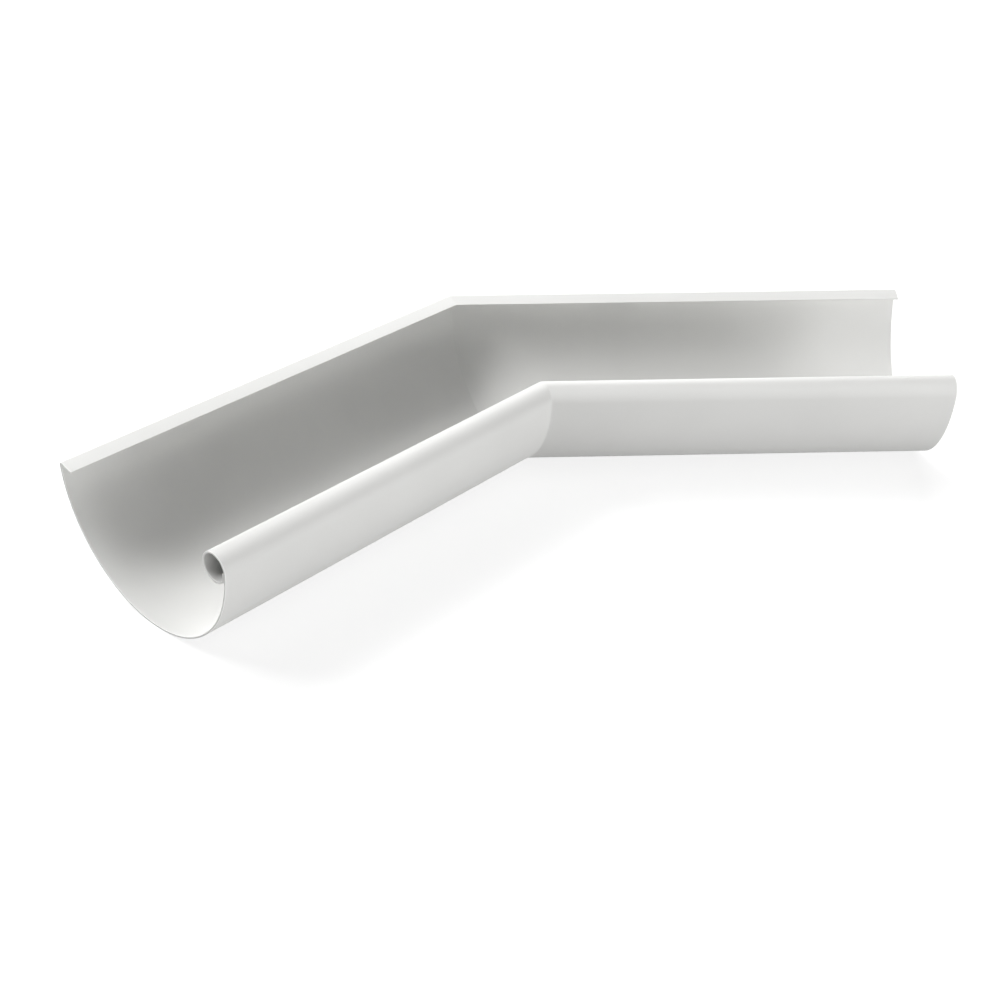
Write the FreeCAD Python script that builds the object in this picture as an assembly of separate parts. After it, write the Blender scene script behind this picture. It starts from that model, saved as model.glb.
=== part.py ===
"""Internal gutter angle: the inside corner of a half-round eaves gutter, in white coated sheet.

One strip of sheet is rolled to the gutter's section: a narrow flange along the back, an upright strip, the
half-round channel, and a bead along the front whose edge is turned back up against the front wall. Two
lengths of that section meet in a mitre, with their backs on the outside of the corner and their beads on
its inside, and make one coated piece.

Frame: millimetres, +Z up, the mitre in the plane X = 0, the backs towards +Y and the beads towards -Y, the
channel's lowest line at Z = 0, and the origin in the middle of the piece's footprint.
"""

import FreeCAD, Part

import math
import os

Vector = FreeCAD.Vector

# Sizes that are set by hand, in millimetres and degrees
NOMINAL_SIZE = 125.0  # inside diameter of the half-round channel, which names the gutter
SHEET = 1.0  # thickness of the coated sheet
CORNER_ANGLE = 135.0  # between the two legs, seen from above
LEG_LENGTH = 266.2  # along the outer face of the back, from the corner to the cut end
BACK_RUN = 0.3  # flat upright strip between the channel and the bend below the flange
FLANGE_WIDTH = 9.5  # from the outer face of the back to the flange's free edge
FLANGE_FALL = 15.3  # slope of the flange, down towards the channel
BEND_RADIUS = 0.5  # inside radius of the two tight bends
BEAD_DIAMETER = 15.9  # outside diameter of the rolled bead
BEAD_DROP = 3.9  # centre of the bead below the channel's widest line
LIP_GAP = 0.2  # between the turned-up lip and the front wall

# Sizes that follow
HALF_SHEET = SHEET / 2
CHANNEL_OUTER = NOMINAL_SIZE / 2 + SHEET  # outside radius of the channel, and the height of its widest line
CHANNEL_MID = CHANNEL_OUTER - HALF_SHEET
BEND_OUTER = BEND_RADIUS + SHEET
BEND_MID = BEND_RADIUS + HALF_SHEET
BEAD_OUTER = BEAD_DIAMETER / 2
BEAD_MID = BEAD_OUTER - HALF_SHEET
LIP_MID = CHANNEL_OUTER - SHEET - LIP_GAP - HALF_SHEET  # the lip is an arc about the channel's centre
SECTION_WIDTH = 2 * CHANNEL_OUTER
MITRE_TURN = (180.0 - CORNER_ANGLE) / 2  # of each leg, away from the X axis


def along(degrees):
    """Unit vector in the section, at an angle from the line that points to the front."""
    angle = math.radians(degrees)
    return Vector(math.cos(angle), math.sin(angle), 0)


def angle_of(vector):
    return math.degrees(math.atan2(vector.y, vector.x))


def straight(length):
    """One flat stretch of the strip."""
    return {"length": length}


def bend(radius, turn):
    """One stretch of the strip rolled to the left, about a centre at the radius of its middle layer."""
    return {"radius": radius, "turn": turn}


def arc_edge(centre, radius, start, turn):
    """Circular edge that starts at one angle and goes on by a turn, either way."""
    stops = [centre + along(start + turn * share) * radius for share in (0, 0.5, 1)]
    return Part.Arc(*stops).toShape()


def strip_face(start, heading, stretches):
    """Closed face of the strip's thickness, from the stretches that its middle layer follows.

    Every stretch gives one edge on the outer side, to the right of the way the strip runs, and one on the
    inner side. Neighbouring stretches are tangent, so the two sides are smooth.
    """
    outer = []
    inner = []
    point = start
    for stretch in stretches:
        side = along(heading + 90)
        if "length" in stretch:
            ahead = point + along(heading) * stretch["length"]
            outer.append(Part.LineSegment(point - side * HALF_SHEET, ahead - side * HALF_SHEET).toShape())
            inner.append(Part.LineSegment(ahead + side * HALF_SHEET, point + side * HALF_SHEET).toShape())
        else:
            radius = stretch["radius"]
            turn = stretch["turn"]
            centre = point + side * radius
            outer.append(arc_edge(centre, radius + HALF_SHEET, heading - 90, turn))
            inner.append(arc_edge(centre, radius - HALF_SHEET, heading - 90 + turn, -turn))
            heading = heading + turn
            ahead = centre + along(heading - 90) * radius
        point = ahead
    last = along(heading + 90) * HALF_SHEET
    first = outer[0].firstVertex(True).Point
    far_cut = Part.LineSegment(point - last, point + last).toShape()
    near_cut = Part.LineSegment(inner[0].lastVertex(True).Point, first).toShape()
    outline = Part.Wire(outer + [far_cut] + inner[::-1] + [near_cut])
    return Part.Face(outline)


def bead_stretches():
    """The bead's roll, its tight bend and the lip that runs back up the front wall.

    The roll touches the channel's arc from inside. The tight bend touches the roll and the lip, so its
    centre is where two circles cross: one about the bead's centre and one about the channel's centre.
    """
    from_channel = CHANNEL_OUTER - BEAD_OUTER
    from_bead = BEAD_MID - BEND_MID
    from_lip = LIP_MID - BEND_MID
    roll_start = -math.degrees(math.asin(BEAD_DROP / from_channel))
    bead_centre = along(roll_start) * from_channel
    spread = (from_channel**2 + from_lip**2 - from_bead**2) / (2 * from_channel * from_lip)
    lip_sweep = math.degrees(math.acos(spread))
    lip_start = roll_start - lip_sweep
    bend_centre = along(lip_start) * from_lip
    roll_end = angle_of(bend_centre - bead_centre)
    roll = bend(BEAD_MID, roll_end - roll_start + 360)
    return roll_start, [roll, bend(BEND_MID, lip_start - roll_end), bend(LIP_MID, lip_sweep)]


def section_stretches():
    """All stretches of the strip, from the flange's free edge to the free edge of the lip."""
    bend_end = BEND_OUTER * (1 + math.sin(math.radians(FLANGE_FALL)))
    flange_run = (FLANGE_WIDTH - bend_end) / math.cos(math.radians(FLANGE_FALL))
    roll_start, bead = bead_stretches()
    back = [straight(flange_run), bend(BEND_MID, 90 + FLANGE_FALL), straight(BACK_RUN)]
    return back + [bend(CHANNEL_MID, 180 + roll_start)] + bead


def section_start():
    """Middle of the sheet at the flange's free edge."""
    normal = along(90 - FLANGE_FALL)
    bend_centre = Vector(BEND_OUTER, CHANNEL_OUTER + BACK_RUN, 0)
    on_top = bend_centre + normal * BEND_OUTER
    run = section_stretches()[0]["length"]
    return on_top + along(-FLANGE_FALL) * run - normal * HALF_SHEET


def strip_width():
    """Width of the flat strip before rolling, along its middle layer."""
    width = 0.0
    for stretch in section_stretches():
        if "length" in stretch:
            width += stretch["length"]
        else:
            width += stretch["radius"] * math.radians(stretch["turn"])
    return width


def straight_length():
    """A square-cut length of the section along +X, its back on the X axis and its front towards -Y."""
    face = strip_face(section_start(), 180 - FLANGE_FALL, section_stretches())
    face.rotate(Vector(0, 0, 0), Vector(1, 0, 0), 90)
    face.rotate(Vector(0, 0, 0), Vector(0, 0, 1), -90)
    return face.extrude(Vector(LEG_LENGTH, 0, 0))


def mitred_leg():
    """The length turned about the outer corner of the back and cut off along the mitre plane."""
    leg = straight_length()
    leg.rotate(Vector(0, 0, 0), Vector(0, 0, 1), -MITRE_TURN)
    reach = LEG_LENGTH + SECTION_WIDTH
    kept_side = Part.makeBox(reach, 2 * reach, reach, Vector(0, -reach, 0))
    return leg.common(kept_side)


def gutter_angle():
    """Both legs as one piece, with the origin in the middle of the footprint."""
    right = mitred_leg()
    left = right.mirror(Vector(0, 0, 0), Vector(1, 0, 0))
    shape = right.fuse(left).removeSplitter()
    box = shape.BoundBox
    shape.translate(Vector(0, -(box.YMin + box.YMax) / 2, -box.ZMin))
    return shape.Solids[0]


def main():
    os.makedirs("parts", exist_ok=True)
    piece = gutter_angle()
    piece.exportStep("parts/gutter_angle.step")
    box = piece.BoundBox
    print(f"valid {piece.isValid()}, faces {len(piece.Faces)}, volume {piece.Volume / 1000:.2f} cm3")
    print(f"size {box.XLength:.2f} x {box.YLength:.2f} x {box.ZLength:.2f} mm, strip {strip_width():.1f} mm wide")


main()
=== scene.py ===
# %% [markdown]
# # Internal gutter angle in white coated steel
# This piece turns a half-round eaves gutter round the inside corner of a roof. It is a strip of thin sheet,
# rolled to a half round with a flange at the back and a bead at the front, and mitred in the middle. The
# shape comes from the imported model, so the looks are built in the same frame, in metres, with +Z up.

# %% Load the fixed frame
import math

import bpy
import numpy as np
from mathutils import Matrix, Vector


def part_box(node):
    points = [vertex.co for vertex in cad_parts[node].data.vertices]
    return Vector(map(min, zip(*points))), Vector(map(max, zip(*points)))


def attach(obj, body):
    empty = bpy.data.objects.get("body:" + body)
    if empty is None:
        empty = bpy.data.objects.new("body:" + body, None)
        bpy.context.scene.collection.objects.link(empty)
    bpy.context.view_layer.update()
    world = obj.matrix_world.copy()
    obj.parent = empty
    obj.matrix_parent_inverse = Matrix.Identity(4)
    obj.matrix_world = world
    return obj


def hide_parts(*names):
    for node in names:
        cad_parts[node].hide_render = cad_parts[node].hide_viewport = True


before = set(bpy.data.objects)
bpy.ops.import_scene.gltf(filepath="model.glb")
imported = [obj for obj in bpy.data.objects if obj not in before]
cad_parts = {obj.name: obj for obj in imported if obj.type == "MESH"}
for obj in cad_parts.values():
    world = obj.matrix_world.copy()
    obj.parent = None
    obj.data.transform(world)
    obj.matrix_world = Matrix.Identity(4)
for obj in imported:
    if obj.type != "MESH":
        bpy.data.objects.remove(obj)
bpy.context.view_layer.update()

MM = 0.001
low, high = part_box("gutter_angle")
print("CAD box in mm:", [round((b - a) / MM, 1) for a, b in zip(low, high)])

# %% [markdown]
# ## Sizes of the section
# A sheet-metal worker reads this piece as a flat strip, about 250 mm wide, and a list of bends. The solid's
# own mesh could be smoothed instead, but its facets are too coarse for a sheet 1 mm thick. So the same short
# list of sizes draws the section again, and the fine surface stands where the solid stands.

# %% Sizes in millimetres and degrees
CHANNEL_INSIDE = 62.5  # inside radius of the nominal 125 mm channel
SHEET = 1.0  # thickness of the coated sheet
LEG_LENGTH = 266.2  # along the outer face of the back
HALF_CORNER = 67.5  # half of the 135 degree corner
BACK_RUN = 0.3  # upright strip between the channel and the bend below the flange
FLANGE_WIDTH = 9.5
FLANGE_FALL = 15.3  # slope of the flange, down towards the channel
BEND_RADIUS = 0.5  # inside radius of the two tight bends
BEAD_DIAMETER = 15.9
BEAD_DROP = 3.9  # centre of the bead below the channel's widest line
LIP_GAP = 0.2  # between the turned-up lip and the front wall
CREASE_SOFTNESS = 0.4  # the sheet's fold at the mitre isn't perfectly sharp
EDGE_ROUND = 0.22  # paint and shears leave the cut edges slightly round
print("channel", 2 * CHANNEL_INSIDE, "mm wide inside, bead", BEAD_DIAMETER, "mm")

# %% [markdown]
# ## The section as a list of stretches
# Each stretch is a straight run or a bend to the left, and follows the middle layer of the sheet, as the
# rollers do. A drawn curve could take its place, but only a list of true arcs keeps the sheet equally thick.
# The bead is tangent to the channel from inside. Its roll ends where a tight bend turns the edge up against
# the front wall: the centre of that bend lies where two circles cross, one about the bead and one about the
# channel, and the law of cosines gives the point.

# %% Bends of the bead
def unit(degrees):
    """Unit vectors at the given angles: cosine and sine of each."""
    angle = np.radians(degrees)
    return np.stack([np.cos(angle), np.sin(angle)], axis=-1)


def bead_bends(outer):
    """Start angle of the roll about the channel's centre, and the three bends: roll, tight bend and lip."""
    half = SHEET / 2
    bead = BEAD_DIAMETER / 2
    tight = BEND_RADIUS + half
    lip = outer - SHEET - LIP_GAP - half
    from_channel, from_bead, from_lip = outer - bead, bead - half - tight, lip - tight
    roll_start = -math.degrees(math.asin(BEAD_DROP / from_channel))
    share = (from_channel**2 + from_lip**2 - from_bead**2) / (2 * from_channel * from_lip)
    lip_sweep = math.degrees(math.acos(share))
    lip_start = roll_start - lip_sweep
    reach = unit(lip_start) * from_lip - unit(roll_start) * from_channel
    roll_end = math.degrees(math.atan2(reach[1], reach[0]))
    roll = (bead - half, roll_end - roll_start + 360)
    return roll_start, [roll, (tight, lip_start - roll_end), (lip, lip_sweep)]


bead_turns = [round(turn) for radius, turn in bead_bends(CHANNEL_INSIDE + SHEET)[1]]
print("roll, tight bend and lip turn by", bead_turns, "degrees")


# %% Stretches from the flange to the lip
def section_stretches():
    """Start point, start heading and stretches; a run is (None, length) and a bend is (radius, turn)."""
    outer = CHANNEL_INSIDE + SHEET
    half = SHEET / 2
    bend_outer = BEND_RADIUS + SHEET
    slope = math.radians(FLANGE_FALL)
    run = (FLANGE_WIDTH - bend_outer * (1 + math.sin(slope))) / math.cos(slope)
    roll_start, bead = bead_bends(outer)
    centre = np.array([bend_outer, outer + BACK_RUN])
    start = centre + unit(90 - FLANGE_FALL) * (bend_outer - half) + unit(-FLANGE_FALL) * run
    stretches = [(None, run), (BEND_RADIUS + half, 90 + FLANGE_FALL), (None, BACK_RUN)]
    stretches += [(outer - half, 180 + roll_start)] + bead
    return start, 180 - FLANGE_FALL, stretches


print(len(section_stretches()[2]), "stretches in the section")

# %% Both sides of the strip
CHANNEL_STEP = 1.6  # degrees between points on the channel and the lip
BEAD_STEP = 5.0  # degrees between points on the bead and the tight bends
WIDE_BEND = 20.0  # radius in mm from which a bend takes the fine step
RUN_POINTS = 5
FEWEST_BEND_POINTS = 7


def section_sides():
    """Outer and inner side of the strip, point by point, and the length along its middle layer.

    Along a run both sides are straight. Along a bend, side point = centre + radius * (cosine, sine), with
    the radius half a sheet more on the outer side and half a sheet less on the inner side.
    """
    point, heading, stretches = section_stretches()
    sides, lengths, travelled = [], [], 0.0
    for radius, amount in stretches:
        across = unit(heading + 90) * SHEET / 2
        if radius is None:
            steps = np.linspace(0, amount, RUN_POINTS)
            middle = point + steps[:, None] * unit(heading)
            pair = np.stack([middle - across, middle + across])
            point, run = middle[-1], steps
        else:
            centre = point + unit(heading + 90) * radius
            step = CHANNEL_STEP if radius > WIDE_BEND else BEAD_STEP
            turns = np.linspace(0, amount, max(FEWEST_BEND_POINTS, int(amount / step)))
            spokes = unit(heading - 90 + turns)
            pair = np.stack([centre + spokes * (radius + SHEET / 2), centre + spokes * (radius - SHEET / 2)])
            point, run = centre + spokes[-1] * radius, np.radians(turns) * radius
            heading += amount
        first = 1 if sides else 0
        sides.append(pair[:, first:])
        lengths.append(travelled + run[first:])
        travelled += run[-1]
    outer, inner = np.concatenate(sides, axis=1)
    return outer, inner, np.concatenate(lengths)


outer_side, inner_side, strip_length = section_sides()
print(f"strip {strip_length[-1]:.1f} mm wide, {len(outer_side)} points on each side")

# %% [markdown]
# ## The mitred sheet as one surface
# On the real piece two square lengths are cut at the mitre and joined. Here the closed outline of the
# section is one parameter of a grid, and the way along both legs is the other, so no seam is left to join.
# The legs lean back from the mitre plane by 22.5 degrees, and each line of the sheet would follow
# y = -tan(22.5) * |x|. The square root of x squared plus a small square takes the place of |x|, which gives
# the fold the soft crease of real sheet. Stations crowd towards the mitre by a sinh law, so one grid serves
# the crease and the long plain legs.

# %% Points of the two legs
STATION_COUNT = 97
CROWDING = 7.0  # of the stations towards the mitre


def mitred_grid(outline, stations):
    """Grid of points in mm: every outline point (inward, height) at every station from -1 to 1; and each
    point's distance from the cut end of its leg.

    x = reach of that line * sinh(crowding * station) / sinh(crowding)
    y = outer corner - inward / cos(lean) - tan(lean) * sqrt(x^2 + softness^2)
    distance from the end = (reach - |x|) / cos(lean)
    """
    lean = math.radians(90 - HALF_CORNER)
    inward, height = outline[:, :1], outline[:, 1:]
    reach = LEG_LENGTH * math.cos(lean) - inward * math.sin(lean)
    x = reach * (np.sinh(CROWDING * stations) / math.sinh(CROWDING))[None, :]
    fold = np.sqrt(x**2 + CREASE_SOFTNESS**2)
    y = high.y / MM - inward / math.cos(lean) - math.tan(lean) * fold
    from_end = (reach - np.abs(x)) / math.cos(lean)
    return np.stack([x, y, np.broadcast_to(height, x.shape)], axis=-1), from_end


outline = np.concatenate([outer_side, inner_side[::-1]])
stations = np.linspace(-1, 1, STATION_COUNT)
grid, from_end = mitred_grid(outline, stations)
print("grid of", grid.shape[0], "outline points by", grid.shape[1], "stations")


# %% Faces of the closed strip
def closed_strip_faces(side_points, station_count):
    """Quads of the closed outline carried along the stations, and the two cut ends.

    The outline runs down the outer side and back up the inner side, so the end face between outline points
    k and k + 1 joins them to the two points straight across the sheet.
    """
    loop = 2 * side_points
    ring = np.arange(loop)
    after = (ring + 1) % loop
    column = np.arange(station_count - 1)
    a = ring[:, None] * station_count + column
    b = after[:, None] * station_count + column
    walls = np.stack([a, a + 1, b + 1, b], axis=-1).reshape(-1, 4)
    k = np.arange(side_points - 1)
    across = np.stack([k, k + 1, loop - 2 - k, loop - 1 - k], axis=-1) * station_count
    ends = np.concatenate([across, across[:, ::-1] + station_count - 1])
    return walls, ends


walls, ends = closed_strip_faces(len(outer_side), STATION_COUNT)
faces = np.concatenate([walls, ends])
print(len(walls), "quads along the legs and", len(ends), "on the cut ends")


# %% The sheet, with a map of the flat strip
def mesh_object(name, points, faces, places=None):
    """A mesh object at the origin, from points and quads; places, two lengths per point, make a UV map."""
    mesh = bpy.data.meshes.new(name)
    mesh.from_pydata(points.tolist(), [], faces.tolist())
    if places is not None:
        corners = np.empty(len(mesh.loops), dtype=np.int32)
        mesh.loops.foreach_get("vertex_index", corners)
        mesh.uv_layers.new(name="strip").data.foreach_set("uv", places[corners].astype(np.float32).ravel())
    mesh.update()
    piece = bpy.data.objects.new(name, mesh)
    bpy.context.scene.collection.objects.link(piece)
    return piece


across_strip = np.concatenate([strip_length, strip_length[::-1]])
places = np.stack([np.broadcast_to(across_strip[:, None], from_end.shape), from_end], axis=-1)
sheet = mesh_object("white_sheet", grid.reshape(-1, 3) * MM, faces, places.reshape(-1, 2) * MM)
print(f"sheet: {len(sheet.data.vertices)} points, {len(sheet.data.polygons)} faces")

# %% [markdown]
# ## Cut edges
# Shears leave a slight burr and the paint rounds it, and that round draws the thin bright line at the open
# ends. It could be part of the section's outline, but a Bevel modifier is simpler: only the cut edges turn
# sharply enough for it to find them.

# %% Soften the cut edges
SHARP_ANGLE = 40.0
CUT_ANGLE = 60.0  # only the cut edges turn by more
sheet.data.shade_smooth()
sheet.data.set_sharp_from_angle(angle=math.radians(SHARP_ANGLE))
edge_round = sheet.modifiers.new("edge_round", "BEVEL")
edge_round.width = EDGE_ROUND * MM
edge_round.segments = 3
edge_round.limit_method = "ANGLE"
edge_round.angle_limit = math.radians(CUT_ANGLE)
edge_round.harden_normals = True
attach(sheet, "root")
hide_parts("gutter_angle")
print("cut edges rounded by", EDGE_ROUND, "mm")

# %% [markdown]
# ## The paint
# The sheet is painted as a flat coil before it is rolled. The polyester levels out to a soft, low gloss with
# a fine orange peel, a few thousandths of a millimetre deep. The rolls then draw faint lines along the
# strip, and hands and stacking leave broad, weak clouds in the gloss. Round the cut ends the colour turns
# whiter: that is a painted highlight, for the bright line along the cut edges. A painted picture could show
# all this, but patterns made by nodes stay sharp from near and can follow the flat strip.


# %% Material helpers
def linear(hex_colour):
    """An sRGB hex colour turned to linear light, with full alpha."""
    value = np.array([int(hex_colour[i : i + 2], 16) for i in (1, 3, 5)]) / 255
    value = np.where(value <= 0.04045, value / 12.92, ((value + 0.055) / 1.055) ** 2.4)
    return (*value, 1.0)


def node(tree, kind, settings=None, **sockets):
    """Add one node with its own settings. A socket gets a constant, or a link from another socket."""
    made = tree.nodes.new(kind)
    for name, value in (settings or {}).items():
        setattr(made, name, value)
    for name, value in sockets.items():
        socket = made.inputs[int(name[1:])] if name[1:].isdigit() else made.inputs[name.replace("_", " ")]
        if isinstance(value, bpy.types.NodeSocket):
            tree.links.new(value, socket)
        else:
            socket.default_value = value
    return made


def blank_material(name):
    """A material with an empty node tree and its output node."""
    material = bpy.data.materials.new(name)
    material.use_nodes = True
    material.node_tree.nodes.clear()
    return material, material.node_tree, node(material.node_tree, "ShaderNodeOutputMaterial")


def noise(tree, where, crest, detail=2.0):
    """Noise with about the given millimetres from crest to crest, and values of about 0.3 to 0.7."""
    made = node(tree, "ShaderNodeTexNoise", Vector=where, Scale=1 / (crest * MM), Detail=detail)
    return made.outputs["Fac"]


def spread(tree, value, low_value, high_value):
    """Noise's middle band, 0.35 to 0.65, stretched to run from one value to another."""
    sockets = {"Value": value, "From_Min": 0.35, "From_Max": 0.65, "To_Min": low_value, "To_Max": high_value}
    return node(tree, "ShaderNodeMapRange", **sockets).outputs["Result"]


print("middle grey #808080 is", round(linear("#808080")[0], 3), "in linear light")

# %% Coil coating: the patterns in the polyester, with sizes in millimetres
CLOUD_SIZE = 62.0
HANDLING_SIZE = 18.0
ROLL_LINE_SPACING = 2.4
ROLL_LINE_SHARE = 0.012  # how slowly the lines change along the strip: each is some 80 times as long as wide
PEEL_SIZE = 1.5
coating, tree, output = blank_material("polyester_coil_coating")
solid_place = node(tree, "ShaderNodeTexCoord").outputs["Object"]
strip_place = node(tree, "ShaderNodeUVMap", {"uv_map": "strip"}).outputs["UV"]
along_strip = (1.0, ROLL_LINE_SHARE, 1.0)
stretched = node(tree, "ShaderNodeVectorMath", {"operation": "MULTIPLY"}, _0=strip_place, _1=along_strip)
roll_lines = noise(tree, stretched.outputs["Vector"], ROLL_LINE_SPACING, detail=3.0)
clouds = noise(tree, solid_place, CLOUD_SIZE)
handling = noise(tree, solid_place, HANDLING_SIZE, detail=4.0)
peel = noise(tree, solid_place, PEEL_SIZE, detail=1.0)
print("orange peel of", PEEL_SIZE, "mm, roll lines", ROLL_LINE_SPACING, "mm apart")

# %% Colour: clouding of the film, and a painted highlight at the cut ends
FILM_DARK, FILM_LIGHT, END_HIGHLIGHT = "#DFDFDD", "#E2E2E0", "#F4F4F2"
END_HIGHLIGHT_FULL, END_HIGHLIGHT_GONE = 0.25, 0.6  # mm from the cut end
film = node(tree, "ShaderNodeMix", {"data_type": "RGBA"}, _0=spread(tree, clouds, 0.0, 1.0))
film.inputs[6].default_value = linear(FILM_DARK)
film.inputs[7].default_value = linear(FILM_LIGHT)
end_distance = node(tree, "ShaderNodeSeparateXYZ", Vector=strip_place).outputs["Y"]
# Painted highlight: the colour grows whiter over the last fraction of a millimetre before each cut end.
end_highlight_mask = node(tree, "ShaderNodeMapRange", {"interpolation_type": "SMOOTHSTEP"}, Value=end_distance)
end_highlight_mask.inputs["From Min"].default_value = END_HIGHLIGHT_FULL * MM
end_highlight_mask.inputs["From Max"].default_value = END_HIGHLIGHT_GONE * MM
end_highlight_mask.inputs["To Min"].default_value = 1.0
end_highlight_mask.inputs["To Max"].default_value = 0.0
film_and_end_highlight = node(tree, "ShaderNodeMix", {"data_type": "RGBA"}, _0=end_highlight_mask.outputs["Result"])
tree.links.new(film.outputs[2], film_and_end_highlight.inputs[6])
film_and_end_highlight.inputs[7].default_value = linear(END_HIGHLIGHT)
print("paint", FILM_DARK, "to", FILM_LIGHT, "and", END_HIGHLIGHT, "at the cut ends")

# %% Gloss and relief
ROUGHNESS = (0.50, 0.56)
LINE_ROUGHNESS = 0.02
LINE_DEPTH, PEEL_DEPTH = 0.006 * MM, 0.005 * MM
RELIEF_STRENGTH = 0.6
PAINT_IOR = 1.5
SOFT_GLOSS = 0.25  # half of the default level, because a matting agent in the coat dulls its mirror
gloss_lines = spread(tree, roll_lines, -LINE_ROUGHNESS, LINE_ROUGHNESS)
gloss_clouds = spread(tree, handling, *ROUGHNESS)
roughness = node(tree, "ShaderNodeMath", {"operation": "ADD"}, _0=gloss_lines, _1=gloss_clouds)
lines_bump = node(tree, "ShaderNodeBump", Height=roll_lines, Distance=LINE_DEPTH, Strength=RELIEF_STRENGTH)
peel_bump = node(tree, "ShaderNodeBump", Height=peel, Distance=PEEL_DEPTH, Strength=RELIEF_STRENGTH)
tree.links.new(lines_bump.outputs["Normal"], peel_bump.inputs["Normal"])
paint = node(tree, "ShaderNodeBsdfPrincipled", Base_Color=film_and_end_highlight.outputs[2], IOR=PAINT_IOR)
paint.inputs["Specular IOR Level"].default_value = SOFT_GLOSS
tree.links.new(roughness.outputs["Value"], paint.inputs["Roughness"])
tree.links.new(peel_bump.outputs["Normal"], paint.inputs["Normal"])
tree.links.new(paint.outputs["BSDF"], output.inputs["Surface"])
sheet.data.materials.append(coating)
print("paint nodes:", len(tree.nodes))

# %% [markdown]
# ## The floor and the white behind it
# The piece lies on a plain sheet of pale grey paper. White paper would do for the picture, but it would
# throw too much light up into the piece. So what the camera and mirrors see of the grey paper is lifted by a
# light of its own, least near the piece: the open floor turns white, the soft shadow stays, and the object
# gets none of that light.

# %% Floor
FLOOR_HALF = 12.0  # metres
SHADOW_REACH = (0.45, 1.3)  # metres from the origin, between which the lift grows to full white
FLOOR_LIFT = 0.80  # near the piece; full white is 1
PAPER_GREY = "#A0A0A0"


def seen_directly(tree):
    """1 for what the camera sees, also by way of a mirror or glass, and 0 for the rays that carry light."""
    ray = node(tree, "ShaderNodeLightPath").outputs
    straight, mirror, glass = ray["Is Camera Ray"], ray["Is Glossy Ray"], ray["Is Transmission Ray"]
    direct = node(tree, "ShaderNodeMath", {"operation": "MAXIMUM"}, _0=straight, _1=mirror).outputs[0]
    return node(tree, "ShaderNodeMath", {"operation": "MAXIMUM"}, _0=direct, _1=glass).outputs[0]


corners = np.array([[-1, -1], [1, -1], [1, 1], [-1, 1]]) * FLOOR_HALF
floor = mesh_object("floor", np.column_stack([corners, np.full(4, low.z)]), np.array([[0, 1, 2, 3]]))
paper, tree, output = blank_material("grey_paper_floor")
floor_place = node(tree, "ShaderNodeTexCoord").outputs["Object"]
away = node(tree, "ShaderNodeVectorMath", {"operation": "LENGTH"}, _0=floor_place).outputs["Value"]
rise = node(tree, "ShaderNodeMapRange", Value=away, To_Min=FLOOR_LIFT, To_Max=1.0)
rise.inputs["From Min"].default_value, rise.inputs["From Max"].default_value = SHADOW_REACH
seen = seen_directly(tree)
lift = node(tree, "ShaderNodeMath", {"operation": "MULTIPLY"}, _0=seen, _1=rise.outputs["Result"])
matt = node(tree, "ShaderNodeBsdfDiffuse", Color=linear(PAPER_GREY))
glow = node(tree, "ShaderNodeEmission", Color=(1, 1, 1, 1), Strength=lift.outputs["Value"])
both = node(tree, "ShaderNodeAddShader", _0=matt.outputs["BSDF"], _1=glow.outputs["Emission"])
tree.links.new(both.outputs["Shader"], output.inputs["Surface"])
floor.data.materials.append(paper)
print("floor at z =", round(low.z, 6))

# %% [markdown]
# ## Light
# A trace of even light from the world fills the deepest shade. The shape comes from broad soft lamps. Each
# is given by its elevation and its direction round the piece in degrees, where 0 is +X and 90 is +Y, then by
# its width and height in metres and its power in watts. Two long strips stand on the floor in front. They
# are lower than the bead, so they light the front walls and hardly any of the channel. The strongest others
# stand behind and above, and shine down into the bed, which leaves the wall under the flange in shade. One
# even white dome would be simpler, but it would show the channel nearly as bright as the walls.

# %% World
WORLD_STRENGTH = 0.02  # as light; seen directly it is white
world = bpy.data.worlds.new("studio")
bpy.context.scene.world = world
world.use_nodes = True
tree = world.node_tree
lighter = 1.0 - WORLD_STRENGTH
strength = node(tree, "ShaderNodeMath", {"operation": "MULTIPLY_ADD"}, _0=seen_directly(tree), _1=lighter)
strength.inputs[2].default_value = WORLD_STRENGTH
tree.nodes["Background"].inputs["Color"].default_value = (1, 1, 1, 1)
tree.links.new(strength.outputs["Value"], tree.nodes["Background"].inputs["Strength"])
print("world strength", WORLD_STRENGTH)

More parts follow.
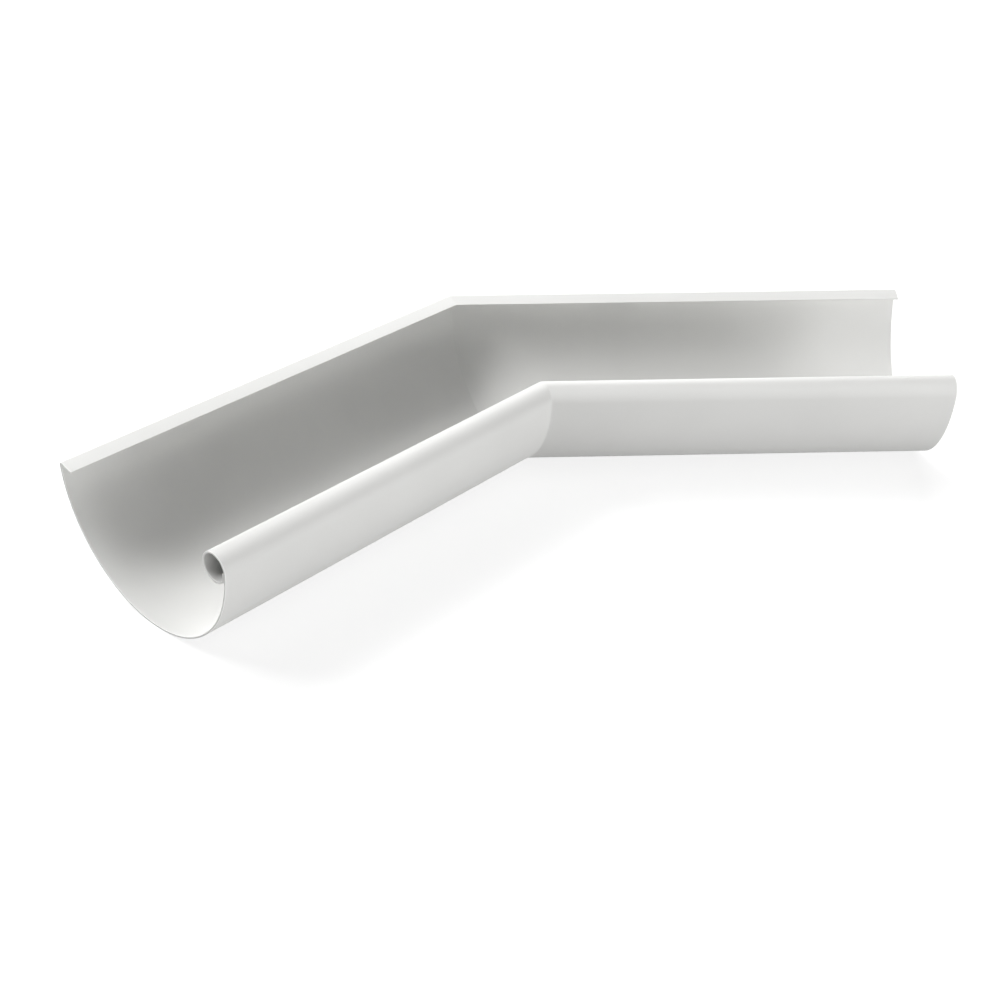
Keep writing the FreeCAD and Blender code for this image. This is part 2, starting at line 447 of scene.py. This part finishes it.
# %% Lamps
LAMPS = {
    "front_strip": (0, 270, 1.2, 0.06, 6.1),
    "front_right_strip": (0, 300, 0.8, 0.06, 5.0),
    "front_right_low": (4, 285, 0.6, 0.6, 8.3),
    "front_right_high": (50, 300, 0.6, 0.6, 1.8),
    "left_low": (12, 195, 0.6, 0.6, 0.9),
    "left": (45, 160, 0.5, 0.5, 7.6),
    "back_left": (60, 135, 0.6, 0.6, 9.7),
    "back_left_wide": (60, 135, 1.6, 1.6, 8.4),
    "back_right": (30, 60, 1.2, 0.3, 16.8),
}
LAMP_DISTANCE = 1.6  # metres
LAMP_TARGET = Vector((0, 0, 0.03))  # about the middle of the piece, in metres


def soft_lamp(name, elevation, direction, width, height, power):
    """An oval soft lamp that looks at the piece.

    place = target + distance * (cos elevation * cos direction, cos elevation * sin direction, sin elevation)
    """
    up, around = math.radians(elevation), math.radians(direction)
    towards = Vector((math.cos(up) * math.cos(around), math.cos(up) * math.sin(around), math.sin(up)))
    data = bpy.data.lights.new(name, "AREA")
    data.shape = "ELLIPSE"
    data.size = width
    data.size_y = height
    data.energy = power
    lamp = bpy.data.objects.new(name, data)
    bpy.context.scene.collection.objects.link(lamp)
    lamp.location = LAMP_TARGET + towards * LAMP_DISTANCE
    lamp.rotation_euler = (-towards).to_track_quat("-Z", "Y").to_euler()
    lamp.visible_camera = False
    return lamp


lamps = [soft_lamp(name, *values) for name, values in LAMPS.items()]
print(len(lamps), "lamps")

# %% [markdown]
# ## Camera
# The camera stands in front of the left leg and above it, and looks down and to the right, across the mitre.
# Its place is given from the outer corner of the backs, where both legs meet.

# %% Camera
PITCH = 32.0  # degrees below level
YAW = 24.5  # degrees from +Y towards +X
LENS = 52.684  # mm
SENSOR_WIDTH = 36.0  # mm
OUTER_CORNER = Vector((0.0, high.y / MM, 0.0))
FROM_CORNER = Vector((-304.35, -740.086, 421.747))  # mm
NEAREST_SEEN = 0.01  # metres
camera = bpy.data.objects.new("camera", bpy.data.cameras.new("camera"))
bpy.context.scene.collection.objects.link(camera)
camera.location = (OUTER_CORNER + FROM_CORNER) * MM
camera.rotation_euler = (math.radians(90 - PITCH), 0, -math.radians(YAW))
camera.data.lens = LENS
camera.data.sensor_width = SENSOR_WIDTH
camera.data.clip_start = NEAREST_SEEN
bpy.context.scene.camera = camera
bpy.context.scene.view_settings.view_transform = "Standard"
print("camera", [round(value, 3) for value in camera.location])
